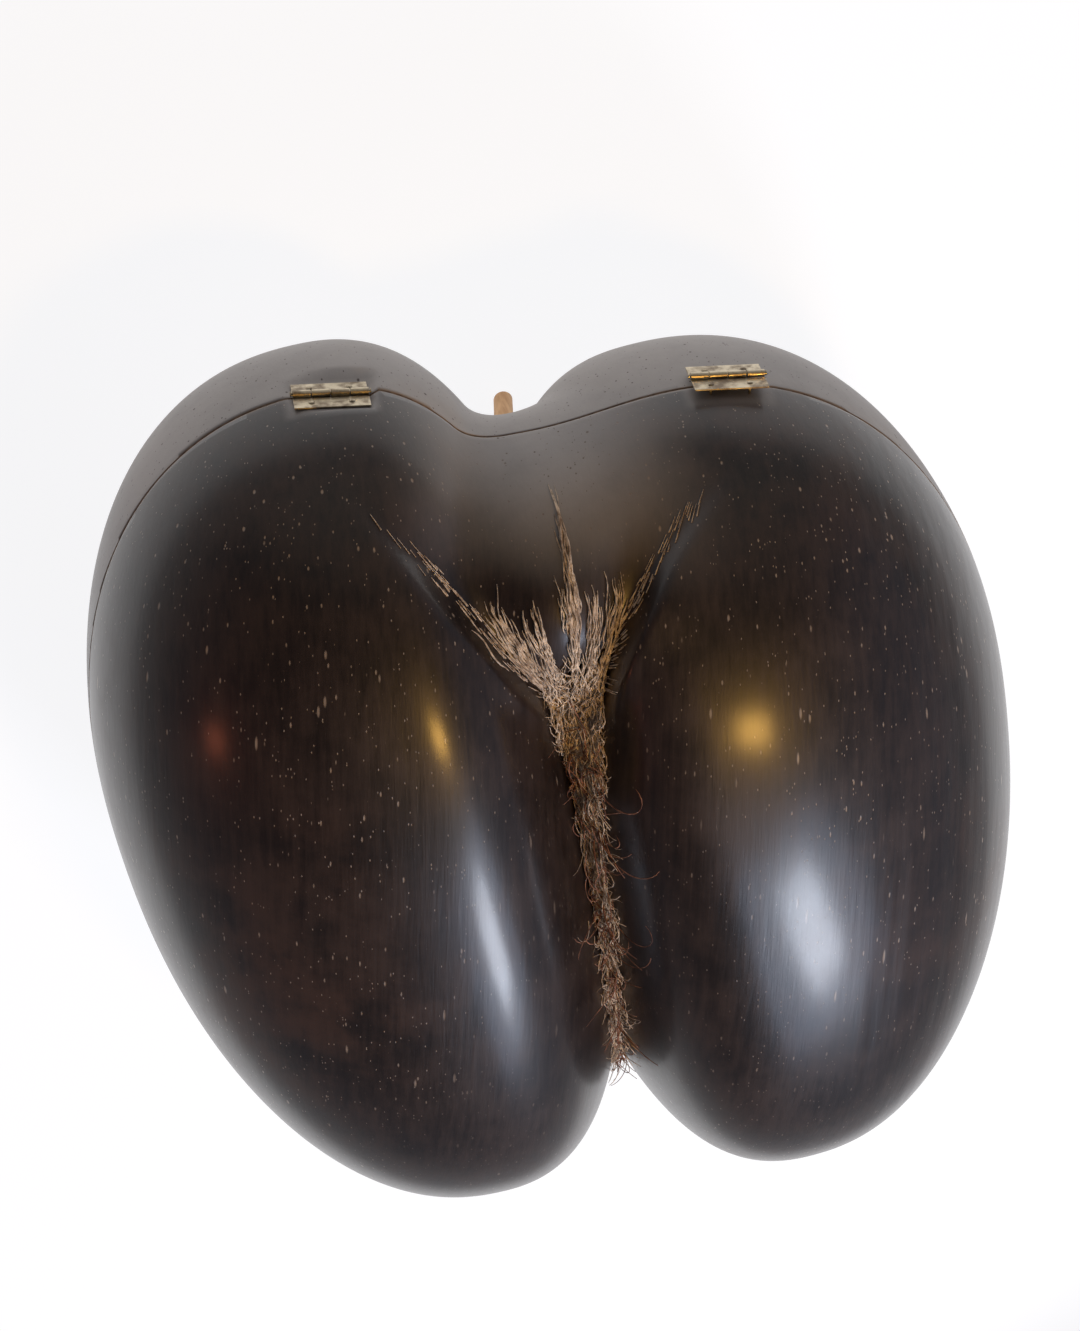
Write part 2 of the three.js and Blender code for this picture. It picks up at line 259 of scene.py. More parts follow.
# Each crease has its side of the pad, its top, its foot and its bow.
CREASES = ((-1, (-52.0, 122.0), (-5.0, 45.0), 3.5), (1, (53.0, 107.0), (6.0, 50.0), 9.0))
CREASE_DEPTH, CREASE_REACH, CREASE_EDGE = 7.0, 14.0, 4.0
CREASE_TOP_END, CREASE_TOP_FADE = 1.1, 0.8
CREASE_FOOT_END, CREASE_FOOT_FADE = 0.3, 0.4
CREASE_FLOOR, CREASE_RISE = 15, 20
HEART = np.array((0.0, 10.0, 0.0))
HEART_REACH, HALVINGS, SLOPE_STEP = 260, 24, 0.6
SEED_TURN = math.radians(8)
SEED_PLACE = np.array((2.33, 14.275, 97.8))
SAW_HEIGHT, KERF, WALL = 107.8, 0.8, 6.5
HINGE_X, SEAT_Y = (-69.87, 46.13), 140.05
SEAT_HALF_LONG, SEAT_HALF_HIGH, SEAT_SLOPE, SEAT_LIMIT = 11.4, 8.3, 0.7, 50
COLUMN_CROWDING = 0.3


def smooth_min(a, b, k):
    h = np.clip(0.5 + 0.5 * (b - a) / k, 0, 1)
    return b * (1 - h) + a * h - k * h * (1 - h)


def ease(x):
    x = np.clip(x, 0, 1)
    return x * x * (3 - 2 * x)


def lobe_value(lobe, p):
    """Below zero inside the lobe, and above zero outside."""
    dx, dy, z = p[:, 0] - lobe["cx"], p[:, 1] - lobe["cy"], p[:, 2]
    lean, side = math.radians(lobe["lean"]), lobe["side"]
    front = np.clip(z, 0, FRONT_LIMIT)
    v = -math.sin(lean) * dx + math.cos(lean) * dy
    u = math.cos(lean) * dx + math.sin(lean) * dy - side * lobe["bend"] * (v / BEND_SPAN) ** 2
    u = u + side * CREST_SHIFT * (front / FRONT_DEPTH) ** 2
    outer = lobe["outer"] * (1 + lobe["egg_outer"] * v / EGG_SPAN)
    inner = lobe["inner"] * (1 + lobe["egg_inner"] * v / EGG_SPAN) * (1 - FRONT_PINCH * front / PINCH_SPAN)
    taper = 1 + lobe["egg"] * v / EGG_SPAN
    half_width = np.where(u * side > 0, outer, inner) * taper
    half_length = np.where(v > 0, lobe["top"], lobe["foot"])
    half_depth = np.where(z > 0, FRONT_DEPTH, BACK_DEPTH) * taper
    swell = (np.abs(u / half_width) ** ROUNDNESS + np.abs(v / half_length) ** ROUNDNESS
             + np.abs(z / half_depth) ** ROUNDNESS)
    return (swell ** (1 / ROUNDNESS) - 1) * LOBE_SIZE


def crease_value(p):
    """How far the skin is drawn in along the creases beside the pad."""
    total = 0
    for side, top, foot, bow in CREASES:
        run = np.subtract(top, foot)
        length = np.hypot(*run)
        off = p[:, :2] - foot
        part = off @ run / length ** 2
        bowed = bow * np.clip(4 * part * (1 - part), 0, 1)
        aside = side * (off[:, 1] * run[0] - off[:, 0] * run[1]) / length - bowed
        profile = np.where(aside > 0, np.exp(-(aside / CREASE_REACH) ** 2), ease(1 + aside / CREASE_EDGE))
        top_fade = ease((CREASE_TOP_END - part) / CREASE_TOP_FADE)
        foot_fade = ease((part + CREASE_FOOT_END) / CREASE_FOOT_FADE)
        total = total + profile * top_fade * foot_fade
    return CREASE_DEPTH * total * ease((p[:, 2] - CREASE_FLOOR) / CREASE_RISE)


def seed_value(p):
    z = p[:, 2] - WEB["z"]
    depth = np.where(z > 0, WEB["front"], WEB["back"])
    section = np.hypot((p[:, 1] - WEB["y"]) / WEB["along"], z / depth)
    web = (np.hypot(p[:, 0] / WEB["across"], section) - 1) * WEB["size"]
    lobes = smooth_min(lobe_value(LOBES[0], p), lobe_value(LOBES[1], p), LOBE_BLEND)
    return smooth_min(lobes, web, WEB_BLEND) + crease_value(p)


def skin(inside, outside):
    """Where the skin is crossed on the way from each inside point to its outside point."""
    for _ in range(HALVINGS):
        middle = (inside + outside) / 2
        within = (seed_value(middle) < 0)[:, None]
        inside, outside = np.where(within, middle, inside), np.where(within, outside, middle)
    return (inside + outside) / 2


def outward(p):
    step = SLOPE_STEP * np.eye(3)
    slope = np.stack([seed_value(p + s) - seed_value(p - s) for s in step], 1)
    return slope / np.linalg.norm(slope, axis=1, keepdims=True)


def to_frame(p):
    c, s = math.cos(SEED_TURN), math.sin(SEED_TURN)
    turned = np.stack((c * p[:, 0] - s * p[:, 1], s * p[:, 0] + c * p[:, 1], p[:, 2]), 1)
    return turned + SEED_PLACE


def skin_mesh(columns, rows, offset):
    """A closed skin, its poles at the far sides of the lobes and its columns close at the groove."""
    bm = bmesh.new()
    bmesh.ops.create_uvsphere(bm, u_segments=rows, v_segments=columns, radius=1.0)
    bmesh.ops.rotate(bm, verts=bm.verts[:], cent=(0, 0, 0), matrix=Matrix.Rotation(math.pi / 2, 3, "Y"))
    mesh = bpy.data.meshes.new("skin")
    bm.to_mesh(mesh)
    bm.free()
    d = np.empty(len(mesh.vertices) * 3)
    mesh.vertices.foreach_get("co", d)
    d = d.reshape(-1, 3)
    t = np.arccos(np.clip(-d[:, 0], -1, 1)) / math.pi
    phi = math.pi * t + COLUMN_CROWDING * np.sin(2 * math.pi * t)
    turn = np.arctan2(d[:, 2], d[:, 1])
    d = np.stack((-np.cos(phi), np.sin(phi) * np.cos(turn), np.sin(phi) * np.sin(turn)), 1)
    p = skin(HEART + d, HEART + HEART_REACH * d)
    p = to_frame(p + offset * outward(p))
    if offset == 0:
        # The hinge leaves lie on two small flats that are let into the outer skin.
        for hinge_x in HINGE_X:
            beside = np.maximum(np.abs(p[:, 0] - hinge_x) - SEAT_HALF_LONG,
                                np.abs(p[:, 2] - SAW_HEIGHT) - SEAT_HALF_HIGH)
            seat = SEAT_Y + SEAT_SLOPE * np.clip(beside, 0, SEAT_LIMIT)
            p[:, 1] = np.minimum(p[:, 1], seat)
        p = np.clip(p, METRE * np.array(cad_box[0]), METRE * np.array(cad_box[1]))
    mesh.vertices.foreach_set("co", (p / METRE).ravel())
    return mesh


def place_piece(name, bm, body, materials, smooth=True, stands_for=()):
    mesh = bpy.data.meshes.new(name)
    bm.to_mesh(mesh)
    bm.free()
    for material in materials:
        mesh.materials.append(material)
    if smooth:
        mesh.shade_smooth()
    piece = bpy.data.objects.new(name, mesh)
    scene.collection.objects.link(piece)
    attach(piece, body)
    if stands_for:
        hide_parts(*stands_for)
    return piece


def shell_half(outer, inner, is_lid):
    """One hollow half: both skins cut at the saw, and the wall's rim bridged between them."""
    bm = bmesh.new()
    bm.from_mesh(outer)
    first = len(bm.faces)
    bm.from_mesh(inner)
    bm.faces.ensure_lookup_table()
    inside = bm.faces[first:]
    for face in inside:
        face.material_index = 1
    bmesh.ops.reverse_faces(bm, faces=inside)
    height = (SAW_HEIGHT + (KERF / 2 if is_lid else -KERF / 2)) / METRE
    bmesh.ops.bisect_plane(bm, geom=bm.verts[:] + bm.edges[:] + bm.faces[:], plane_co=(0, 0, height),
                           plane_no=(0, 0, 1), clear_outer=not is_lid, clear_inner=is_lid)
    rim = bmesh.ops.bridge_loops(bm, edges=[e for e in bm.edges if e.is_boundary])
    for face in rim["faces"]:
        face.material_index = 2
        face.smooth = False
    return bm


# The polish: a brown-black shell with long fine grain and mottling. It is grey at the hinged end and below
# the saw cut, partly dust where it was never waxed and partly a painted sheen, with painted light on the
# seats round the hinges.
SHELL_DARK, SHELL_LIGHT = (0.0100, 0.0060, 0.0052), (0.034, 0.0215, 0.0175)
SHELL_BROWN = (0.062, 0.030, 0.019)
DUST_AND_SHEEN_GREY = (0.42, 0.385, 0.365)
polish = Finish("polished_shell", roughness=0.45, specular_ior_level=0.32, coat_roughness=0.2,
                coat_ior=1.38)
along, height, sideways = polish.axis("Y"), polish.axis("Z"), polish.axis("X")
grain_place = polish.stretched((1, 0.06, 0.4), -SEED_TURN)
grain = polish.noise(520, detail=4, rough=0.6, place=grain_place)
fine_grain = polish.noise(1500, detail=2, rough=0.5, place=grain_place)
mottle = polish.noise(38, detail=6, rough=0.65)
patch = polish.noise(8, detail=3, rough=0.5)
tone = (mottle * 0.6 + grain * 0.4).ramp(0.34, 0.66)
skin_colour = polish.blend(SHELL_DARK, SHELL_LIGHT, tone)
brown = patch.ramp(0.42, 0.68) * mottle.ramp(0.38, 0.66) * 0.6
skin_colour = polish.blend(skin_colour, SHELL_BROWN, brown)

cut = SAW_HEIGHT / METRE
below = 1 - height.ramp(cut - 0.004, cut + 0.003)
hinged_end = along.ramp(0.06, 0.12)
from_notch = abs(sideways + 0.006 + (along - 0.1) * 0.14)
notch = (1 - from_notch.ramp(0.0, 0.052)) * along.ramp(0.100, 0.128)
wear = polish.noise(22, detail=5, rough=0.6)
# Painted light: the seats under the hinge leaves are painted lighter over the leaves' shade.
seat_light = 0.0
for hinge_x in HINGE_X:
    seat_light = (1 - abs(sideways - hinge_x / METRE).ramp(0.0115, 0.0150)) + seat_light
seat_light = seat_light * (1 - abs(height - cut).ramp(0.0085, 0.0125)) * along.ramp(0.134, 0.138)
# The grey is real dust and a painted sheen at the hinged end, the notch and below the cut, with painted light
# on the seats.
dust_and_sheen = (below * (0.35 + hinged_end * 0.65) + notch * 0.9 + seat_light * 0.6).clamped()
dust_and_sheen = dust_and_sheen * (wear * 0.5 + 0.75).clamped()
skin_colour = polish.blend(skin_colour, DUST_AND_SHEEN_GREY, dust_and_sheen * (mottle * 0.5 + 0.65).clamped())

# Pale flecks and scratches lie mostly along the grain, thickest round the pad. In the grey of dust and
# painted sheen they are dark. Each kind has its size, its squash along the seed, how rare it is, its turn.
FLECK_TAN, FLECK_DARK = (0.36, 0.285, 0.23), (0.07, 0.05, 0.045)
FLECK_KINDS = ((1300, 0.45, 0.90, -0.14), (820, 0.3, 0.945, 0.35), (560, 0.16, 0.97, -0.7))
marks = 0.0
for size, squash, rarity, turn in FLECK_KINDS:
    cells = polish.stretched((1, squash, 0.7), turn)
    sockets = {"Vector": cells, "Scale": size}
    near = polish.node("TexVoronoi", {"feature": "F1"}, sockets, "Distance")
    pick = polish.node("TexVoronoi", {"feature": "F1"}, sockets, "Color")
    chosen = polish.node("SeparateColor", {}, {"Color": pick}, "Red") > rarity
    marks = (1 - near.ramp(0.12, 0.30)) * chosen + marks
marks = marks.clamped()
flecks = marks * (patch.ramp(0.3, 0.55) * 0.6 + along.ramp(0.0, 0.09) * 0.4 + 0.15) * (1 - below)
skin_colour = polish.blend(skin_colour, FLECK_TAN, flecks * 0.85)
skin_colour = polish.blend(skin_colour, FLECK_DARK, marks * dust_and_sheen * 0.9)

# The edge of the saw cut is rubbed brown, and long shallow furrows run down the outer side
# of the right lobe.
WORN_BROWN = (0.24, 0.165, 0.115)
POLISH_RELIEF = 0.00014
worn = (1 - abs(height - cut).ramp(0.0004, 0.0013)) * (1 - notch * 0.9)
worn = worn * polish.noise(160, detail=3).ramp(0.32, 0.58) * 0.85
skin_colour = polish.blend(skin_colour, WORN_BROWN, worn)
rough = 0.36 + grain * 0.12 + mottle.ramp(0.45, 0.8) * 0.1 + dust_and_sheen * 0.2
furrow_place = polish.stretched((1, 0.05, 0.5), -SEED_TURN)
furrows = polish.noise(95, detail=2, rough=0.5, place=furrow_place).ramp(0.3, 0.7)
furrows = furrows * sideways.ramp(0.045, 0.10)
relief = grain * 0.5 + fine_grain * 0.25 + mottle * 0.4 - flecks * 0.5 + furrows * 2.2
polish.finish(base_color=skin_colour, roughness=rough, coat_weight=0.6 - dust_and_sheen * 0.55,
              normal=polish.bump(relief, POLISH_RELIEF))

# The inside is scraped back to bare brown shell, and the sawn rim is lighter.
SCRAPED_DARK, SCRAPED_LIGHT = (0.055, 0.030, 0.018), (0.16, 0.095, 0.055)
scraped = Finish("scraped_shell", roughness=0.75)
scrape = scraped.noise(240, detail=5, rough=0.65, place=scraped.stretched((1, 0.12, 1), -SEED_TURN))
scraped.finish(base_color=scraped.blend(SCRAPED_DARK, SCRAPED_LIGHT, scrape.ramp(0.3, 0.7)),
               normal=scraped.bump(scrape, 0.0004))
SAWN_DARK, SAWN_LIGHT = (0.16, 0.095, 0.055), (0.33, 0.22, 0.14)
sawn = Finish("sawn_rim", roughness=0.65)
saw_lines = sawn.noise(420, detail=3, rough=0.6, place=sawn.stretched((1, 0.2, 1)))
sawn.finish(base_color=sawn.blend(SAWN_DARK, SAWN_LIGHT, saw_lines.ramp(0.3, 0.7)),
            normal=sawn.bump(saw_lines, 0.0002))

outer_skin = skin_mesh(300, 300, 0.0)
inner_skin = skin_mesh(120, 128, -WALL)
shell_finishes = (polish.material, scraped.material, sawn.material)
place_piece("bottom_half", shell_half(outer_skin, inner_skin, False), "bottom", shell_finishes,
            stands_for=("bottom_shell",))
place_piece("lid_half", shell_half(outer_skin, inner_skin, True), "lid", shell_finishes,
            stands_for=("lid_shell",))

# Groove fibre. Dry husk that grew in the groove and was left there: a torn mat over the pad,
# hair-like strands running down the groove, and thin reddish ones that have sprung loose.
MAT_LENGTH = (-106, -60, -8, 20, 33, 55, 70, 84)
MAT_LEFT = (-3.0, -3.2, -3.4, -4.4, -6.5, -9.5, -14.5, -18)
MAT_RIGHT = (4.6, 3.6, 3.4, 3.8, 4.8, 8.5, 11.5, 13)
PAD_FOOT, PAD_TOP, PAD_SAG, PAD_NARROWING = 26.0, 70.0, 6, 0.35
SEARCH_FROM, SEARCH_REACH = 12.0, 118
STRAND_RADIUS, LEAST_LIFT = 0.0005, 0.12
STRAND_POINTS, CURL_POINTS, LOOSE_POINTS = 9, 12, 15
TURN = 6.28
fibre_luck = random.Random(41)
draw, draw_near = fibre_luck.uniform, fibre_luck.gauss


def mat_edge(rel, y):
    """The mat's reach across the seed at y: all of it to the left for -1, and to the right for 1."""
    left, right = np.interp(y, MAT_LENGTH, MAT_LEFT), np.interp(y, MAT_LENGTH, MAT_RIGHT)
    return left * max(0, -rel) + right * max(0, rel)


def front_skin(x, y):
    inside = np.column_stack((x, y, np.full(len(x), SEARCH_FROM)))
    return skin(inside, inside + (0, 0, SEARCH_REACH))


def fibre_bed(x, y, lift):
    """Places over the skin. The hollow at the foot of the pad is bridged, as fibre fills it."""
    place = front_skin(x, y)
    t = np.clip((y - PAD_FOOT) / (PAD_TOP - PAD_FOOT), 0, 1)
    sag = np.sin(math.pi * t)
    narrowed = x * (1 - PAD_NARROWING * sag)
    foot_height = front_skin(narrowed, np.full(len(x), PAD_FOOT))[:, 2]
    top_height = front_skin(narrowed, np.full(len(x), PAD_TOP))[:, 2]
    bridge = (1 - t) * foot_height + t * top_height
    bridge = np.where((t > 0) & (t < 1), bridge - PAD_SAG * sag, 0)
    away = np.where((bridge > place[:, 2])[:, None], (0.0, 0.0, 1.0), outward(place))
    place[:, 2] = np.maximum(place[:, 2], bridge)
    return to_frame(place + lift[:, None] * away) / METRE


def lay_strands(name, paths, finish):
    """Strands as one curve. Each path is a list of (x, y, lift, width) on the seed's skin."""
    flat = np.array([point for path in paths for point in path])
    places = fibre_bed(flat[:, 0], flat[:, 1], flat[:, 2])
    curve = bpy.data.curves.new(name, "CURVE")
    curve.dimensions, curve.bevel_depth, curve.bevel_resolution = "3D", STRAND_RADIUS, 0
    curve.use_fill_caps = True
    start = 0
    for path in paths:
        spline = curve.splines.new("POLY")
        spline.points.add(len(path) - 1)
        for point, place, (_, _, _, width) in zip(spline.points, places[start:], path):
            point.co, point.radius = (*place, 1), width
        start += len(path)
    curve.materials.append(finish.material)
    piece = bpy.data.objects.new(name, curve)
    scene.collection.objects.link(piece)
    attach(piece, "lid")
    return piece


def wander(y0, reach, x_at, lift, width, sway):
    """One strand from y0 up the seed by reach, held to x_at(y) and swaying a little."""
    beat, start = draw(0.6, 1.6), draw(0, TURN)
    path = []
    for i in range(STRAND_POINTS):
        t = i / (STRAND_POINTS - 1)
        y = y0 + reach * t
        x = x_at(y) + sway * math.sin(start + TURN * beat * t)
        high = lift * (0.25 + math.sin(math.pi * t) ** 0.7) + draw(-0.12, 0.12)
        path.append((x, y, max(LEAST_LIFT, high), width * (1 - 0.65 * abs(2 * t - 1) ** 3)))
    return path


def curl(x, y, heading, bend, points, step, lift, width, spread=0.45):
    """One springy strand from (x, y), held in by the groove. Its bend tightens towards the tip."""
    path = []
    for i in range(points):
        t = i / (points - 1)
        high = 0.25 + lift * math.sin(math.pi * (0.1 + 0.75 * t))
        path.append((x, y, high, width * (1.1 - 0.6 * t)))
        x, y = x + spread * step * math.cos(heading), y + step * math.sin(heading)
        heading += bend * (0.4 + 1.2 * t)
    return path


husk_paths, loose_paths = [], []
# The torn mat at the foot of the pad.
for _ in range(420):
    rel, y0 = draw(-1, 1), draw(22, 54)
    husk_paths.append(wander(y0, reach=draw(7, 17), x_at=lambda y, r=rel: mat_edge(r, y),
                             lift=draw(0.2, 2.2), width=draw(0.22, 0.58), sway=draw(0.3, 1.9)))
# The strip up the middle, and the clumps that fan out of the groove to the left and right of it.
# Each has its place across the pad, its lowest and highest roots, its count and its spread.
CLUMPS = ((1.3, 48, 80, 110, 0.8), (2.6, 78, 95, 36, 0.5), (-16.0, 44, 76, 110, 2.2),
          (-8.0, 44, 73, 70, 1.2), (8.0, 44, 75, 100, 1.5), (13.4, 46, 76, 70, 1.3))
FAN_FOOT, FAN_LENGTH, FAN_LEAST, FAN_MOST = 36, 40, 0.15, 1.2


def fan(y):
    """How far the clumps have fanned out at y, as a share of their place across the pad."""
    return min(FAN_MOST, max(FAN_LEAST, (y - FAN_FOOT) / FAN_LENGTH))


for centre, low, high, count, spread in CLUMPS:
    for _ in range(count):
        x0, y0 = draw_near(centre, spread), draw(low, high)
        husk_paths.append(wander(y0, reach=draw(7, 16), x_at=lambda y, x=x0: x * fan(y),
                                 lift=draw(0.1, 1.4), width=draw(0.2, 0.62), sway=0.4))
# Hair down the groove, the longer strands lengthwise and the shorter ones curled over them.
for _ in range(330):
    rel, y0 = max(-1, min(1, draw_near(-0.05, 0.5))), draw(-106, 24)
    husk_paths.append(wander(y0, reach=draw(6, 20), x_at=lambda y, r=rel: mat_edge(r, y),
                             lift=draw(0.2, 2.2), width=draw(0.18, 0.45), sway=draw(0.3, 1.6)))
for _ in range(330):
    heading = fibre_luck.choice((-1, 1)) * math.pi / 2 + draw_near(0, 0.5)
    x0, y0 = 0.3 + draw_near(0, 1.6), draw(-105, 46)
    husk_paths.append(curl(x0, y0, heading, bend=draw(-0.28, 0.28), points=CURL_POINTS,
                           step=draw(0.8, 1.5), lift=draw(0.6, 3.6), width=draw(0.2, 0.42)))
# Slivers torn up along the two creases.
for side, top, foot, bow in CREASES:
    run = np.subtract(top, foot)
    square = np.array((-run[1], run[0]))
    for _ in range(110):
        t = fibre_luck.betavariate(1.2, 2.0) * 0.95
        aside, reach = draw(-1.6, 1.0) + bow * 4 * t * (1 - t), draw(0.02, 0.07)
        ends = [foot + run * (t + reach * k / 3) + side * aside * square / np.hypot(*run) for k in range(4)]
        width = draw(0.25, 0.6)
        husk_paths.append([(*end, LEAST_LIFT + 0.1 * k, width * (1 - 0.2 * k)) for k, end in enumerate(ends)])
# Thin reddish strands that have sprung out of the groove, most of them to the right.
for _ in range(120):
    heading = fibre_luck.choice((-1, -1, 1)) * math.pi / 2 + draw_near(0.25, 0.55)
    x0, y0 = draw(-1.8, 3.2), draw(-100, 42)
    loose_paths.append(curl(x0, y0, heading, bend=draw(-0.36, 0.36), points=LOOSE_POINTS,
                            step=draw(0.5, 1.5), lift=draw(2.0, 5.0), width=draw(0.26, 0.46),
                            spread=draw(0.3, 1.0)))

HUSK_DARK, HUSK_PALE, HUSK_STAIN = (0.22, 0.155, 0.11), (0.84, 0.70, 0.56), (0.24, 0.15, 0.10)
husk = Finish("dry_husk", roughness=0.9)
husk_tone = husk.noise(420, detail=4, rough=0.65)
husk_patch = husk.noise(60, detail=3, rough=0.5).ramp(0.38, 0.66)
husk_colour = husk.blend(HUSK_DARK, HUSK_PALE, husk_tone.ramp(0.30, 0.66))
husk.finish(base_color=husk.blend(husk_colour, HUSK_STAIN, husk_patch * 0.45),
            normal=husk.bump(husk_tone, 0.0003))
RUST_DARK, RUST_PALE = (0.11, 0.042, 0.026), (0.42, 0.20, 0.125)
rusty = Finish("rusty_strand", roughness=0.8)
rusty_tone = rusty.noise(260, detail=3, rough=0.5)
rusty.finish(base_color=rusty.blend(RUST_DARK, RUST_PALE, rusty_tone.ramp(0.35, 0.65)))

# The mat itself is a thin felt with a ragged edge and top, narrower down in the groove.
MAT_ROWS, MAT_COLUMNS, MAT_THICKNESS = 124, 15, 0.0004
MAT_FOOT, MAT_LONG, MAT_HALF_SHARE = -107, 159, 0.85
row, column = np.meshgrid(np.linspace(0, 1, MAT_ROWS),
                          np.linspace(-MAT_HALF_SHARE, MAT_HALF_SHARE, MAT_COLUMNS), indexing="ij")
row, column = row.ravel(), column.ravel()
row = MAT_FOOT + row * (MAT_LONG + 6 * np.sin(9 * column + 1) - 7 * np.abs(column))
in_groove = 0.55 + 0.45 * ease((row - 8) / 25)
ragged = in_groove * (1 + 0.16 * np.sin(row * 0.9 + 4 * column) * np.sin(row * 0.37))
mat_x = np.array([mat_edge(c, y) for c, y in zip(column, row)]) * ragged
lumps = 0.7 + 0.5 * np.sin(1.7 * row + 3 * column) * np.sin(0.8 * row - 5 * column)
mat_bm = bmesh.new()
bmesh.ops.create_grid(mat_bm, x_segments=MAT_COLUMNS - 1, y_segments=MAT_ROWS - 1, size=1.0)
for point, place in zip(mat_bm.verts, fibre_bed(mat_x, row, lumps)):
    point.co = place
mat = place_piece("husk_mat", mat_bm, "lid", (husk.material,))
thick = mat.modifiers.new("thickness", "SOLIDIFY")
thick.thickness, thick.offset = MAT_THICKNESS, -1
husk_strands = lay_strands("husk_strands", husk_paths, husk)
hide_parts("groove_fibre")
lay_strands("loose_strands", loose_paths, rusty)

# Hinges. Two small brass butt hinges bridge the saw cut. Each has two thin leaves rolled into
# interleaved knuckles round a pin, and is tacked on with four round-headed nails.
LEAF_LONG, LEAF_WIDE, LEAF_THICK, GAP = 22.0, 8.0, 0.5, 0.3
LEAF_BACK = 140.375
LEAF_FRONT = LEAF_BACK + LEAF_THICK
KNUCKLES, KNUCKLE_R, KNUCKLE_LAP = 4, 1.15, 0.3
KNUCKLE_LONG = (LEAF_LONG - (KNUCKLES - 1) * GAP) / KNUCKLES
PIN_R, PIN_HEAD_R, PIN_HEAD_LONG = 0.42, 0.8, 0.4
PIN_Y = LEAF_BACK + KNUCKLE_R
NAIL_R, NAIL_DOME, NAIL_LIFT = 0.95, 0.55, 0.02
NAIL_INSET, NAIL_DROP = 5.2, 4.8
SHANK_R, SHANK_LONG = 0.4, 4
SOFT_EDGE = 0.12
BRASS_BRIGHT, BRASS_DULL = (0.58, 0.50, 0.36), (0.25, 0.195, 0.14)

brass = Finish("aged_brass", metallic=1.0, roughness=0.4)
tarnish = brass.noise(520, detail=5, rough=0.65)
smear = brass.noise(150, detail=3, rough=0.5)
stain = (smear * 0.6 + tarnish * 0.4).ramp(0.42, 0.62)
brass.finish(base_color=brass.blend(BRASS_BRIGHT, BRASS_DULL, stain), roughness=0.28 + stain * 0.25,
             normal=brass.bump(tarnish, 0.00005))


def soften(bm, edges, size):
    bmesh.ops.bevel(bm, geom=edges, offset=size / METRE, affect="EDGES", segments=2, profile=0.5, material=-1)


def block(bm, low, high, edge=0.0):
    """A plate between two corners, in millimetres, with softened edges."""
    low, high = Vector(low) / METRE, Vector(high) / METRE
    shape = Matrix.Translation((low + high) / 2) @ Matrix.Diagonal((*(high - low), 1))
    made = bmesh.ops.create_cube(bm, size=1, matrix=shape)["verts"]
    if edge:
        soften(bm, list({e for v in made for e in v.link_edges}), edge)


def rod(bm, start, end, radius, sides=28, edge=0.0):
    """A round bar between two points, in millimetres, with softened ends."""
    start, end = Vector(start) / METRE, Vector(end) / METRE
    turned = (end - start).to_track_quat("Z", "Y").to_matrix().to_4x4()
    shape = Matrix.Translation((start + end) / 2) @ turned
    made = bmesh.ops.create_cone(bm, cap_ends=True, segments=sides, radius1=radius / METRE,
                                 radius2=radius / METRE, depth=(end - start).length, matrix=shape)["verts"]
    if edge:
        rims = [e for e in {e for v in made for e in v.link_edges} if len(e.link_faces) == 2
                and max(len(f.verts) for f in e.link_faces) > 4]
        soften(bm, rims, edge)


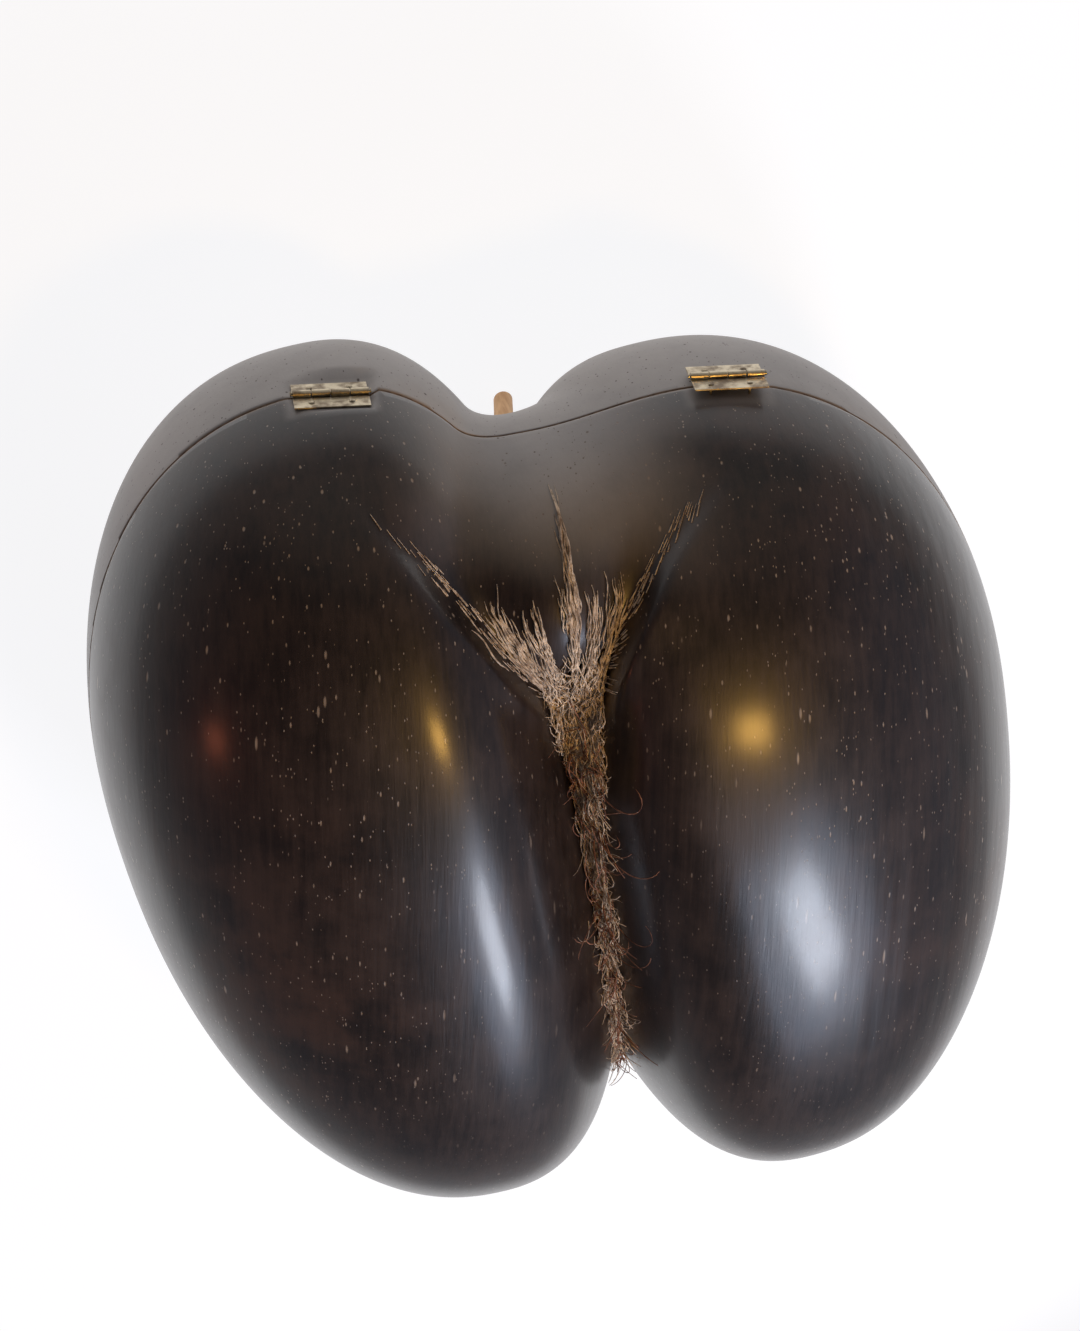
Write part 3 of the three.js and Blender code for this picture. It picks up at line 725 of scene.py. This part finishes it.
for side, hinge_x in zip(("left", "right"), HINGE_X):
    left_end, right_end = hinge_x - LEAF_LONG / 2, hinge_x + LEAF_LONG / 2
    for half, way, first in (("lid", 1, 0), ("bottom", -1, 1)):
        near, far = SAW_HEIGHT + way * (KNUCKLE_R + GAP), SAW_HEIGHT + way * LEAF_WIDE
        root = near + way * KNUCKLE_LAP
        leaf_bm = bmesh.new()
        block(leaf_bm, (left_end, LEAF_BACK, min(near, far)), (right_end, LEAF_FRONT, max(near, far)),
              SOFT_EDGE)
        for k in range(first, KNUCKLES, 2):
            x0 = left_end + k * (KNUCKLE_LONG + GAP)
            x1 = x0 + KNUCKLE_LONG
            rod(leaf_bm, (x0, PIN_Y, SAW_HEIGHT), (x1, PIN_Y, SAW_HEIGHT), KNUCKLE_R, edge=SOFT_EDGE)
            block(leaf_bm, (x0, LEAF_BACK, min(SAW_HEIGHT, root)), (x1, LEAF_FRONT, max(SAW_HEIGHT, root)))
        place_piece(f"hinge_leaf_{side}_{half}", leaf_bm, half, (brass.material,), smooth=False,
                    stands_for=(f"leaf_{side}_{half}",))
        tack_bm = bmesh.new()
        for way_x in (-1, 1):
            x, z = hinge_x + way_x * (LEAF_LONG / 2 - NAIL_INSET), SAW_HEIGHT + way * NAIL_DROP
            face = LEAF_FRONT + NAIL_LIFT
            flattened = Matrix.Diagonal((1, NAIL_DOME / NAIL_R, 1, 1))
            dome = Matrix.Translation(Vector((x, face, z)) / METRE) @ flattened
            bmesh.ops.create_uvsphere(tack_bm, u_segments=24, v_segments=12, radius=NAIL_R / METRE,
                                      matrix=dome)
            rod(tack_bm, (x, face - SHANK_LONG, z), (x, face, z), SHANK_R, sides=12)
        place_piece(f"tacks_{side}_{half}", tack_bm, half, (brass.material,),
                    stands_for=(f"nail_{side}_{half}_1", f"nail_{side}_{half}_2"))
    pin_bm = bmesh.new()
    reach = LEAF_LONG / 2 + GAP
    rod(pin_bm, (hinge_x - reach, PIN_Y, SAW_HEIGHT), (hinge_x + reach, PIN_Y, SAW_HEIGHT), PIN_R, sides=20)
    for way_x in (-1, 1):
        tip = hinge_x + way_x * (reach + PIN_HEAD_LONG)
        rod(pin_bm, (hinge_x + way_x * reach, PIN_Y, SAW_HEIGHT), (tip, PIN_Y, SAW_HEIGHT), PIN_HEAD_R,
            sides=24, edge=SOFT_EDGE)
    place_piece(f"hinge_pin_{side}", pin_bm, "bottom", (brass.material,), smooth=False,
                stands_for=(f"pin_{side}",))

# Pegs. Two short wooden pegs prop the hinged end. They stand on the table and are glued
# into blind holes on the underside of the web. One is pale; the other is painted darker, as painted shade
# where the nut shades it.
PEG_R, PEG_SOCKET = 3.1, 4.0
PEG_ABOVE, PEG_BELOW = 12, 30
PEGS = (
    ("pale", (3.4, 71.3, -100.8), (-2.5, 77.5, -46.0), ((0.52, 0.27, 0.11), (0.72, 0.42, 0.20))),
    # The dark peg's colours are painted shade: it stands in the shadow of the nut.
    ("dark", (10.6, 63.6, -100.8), (5.5, 66.5, -51.0), ((0.13, 0.075, 0.045), (0.26, 0.16, 0.10))),
)
for name, foot, top, shades in PEGS:
    foot, top = np.array(foot), np.array(top)
    up = (top - foot) / np.linalg.norm(top - foot)
    root = skin((top + PEG_ABOVE * up)[None], (top - PEG_BELOW * up)[None])[0]
    ends = to_frame(np.stack((foot, root + PEG_SOCKET * up)))
    peg_bm = bmesh.new()
    rod(peg_bm, ends[0], ends[1], PEG_R, sides=36)
    # The foot is trimmed level with the table.
    bmesh.ops.bisect_plane(peg_bm, geom=peg_bm.verts[:] + peg_bm.edges[:] + peg_bm.faces[:],
                           plane_co=(0, 0, 0), plane_no=(0, 0, -1), clear_outer=True)
    bmesh.ops.holes_fill(peg_bm, edges=[e for e in peg_bm.edges if e.is_boundary], sides=0)
    wood = Finish(f"{name}_wood", roughness=0.7)
    rings = wood.noise(520, detail=4, rough=0.6, place=wood.stretched((1, 1, 0.08)))
    wood.finish(base_color=wood.blend(*shades, rings.ramp(0.3, 0.7)), normal=wood.bump(rings, 0.0002))
    place_piece(f"peg_{name}_wood", peg_bm, "bottom", (wood.material,), smooth=False,
                stands_for=(f"peg_{name}",))
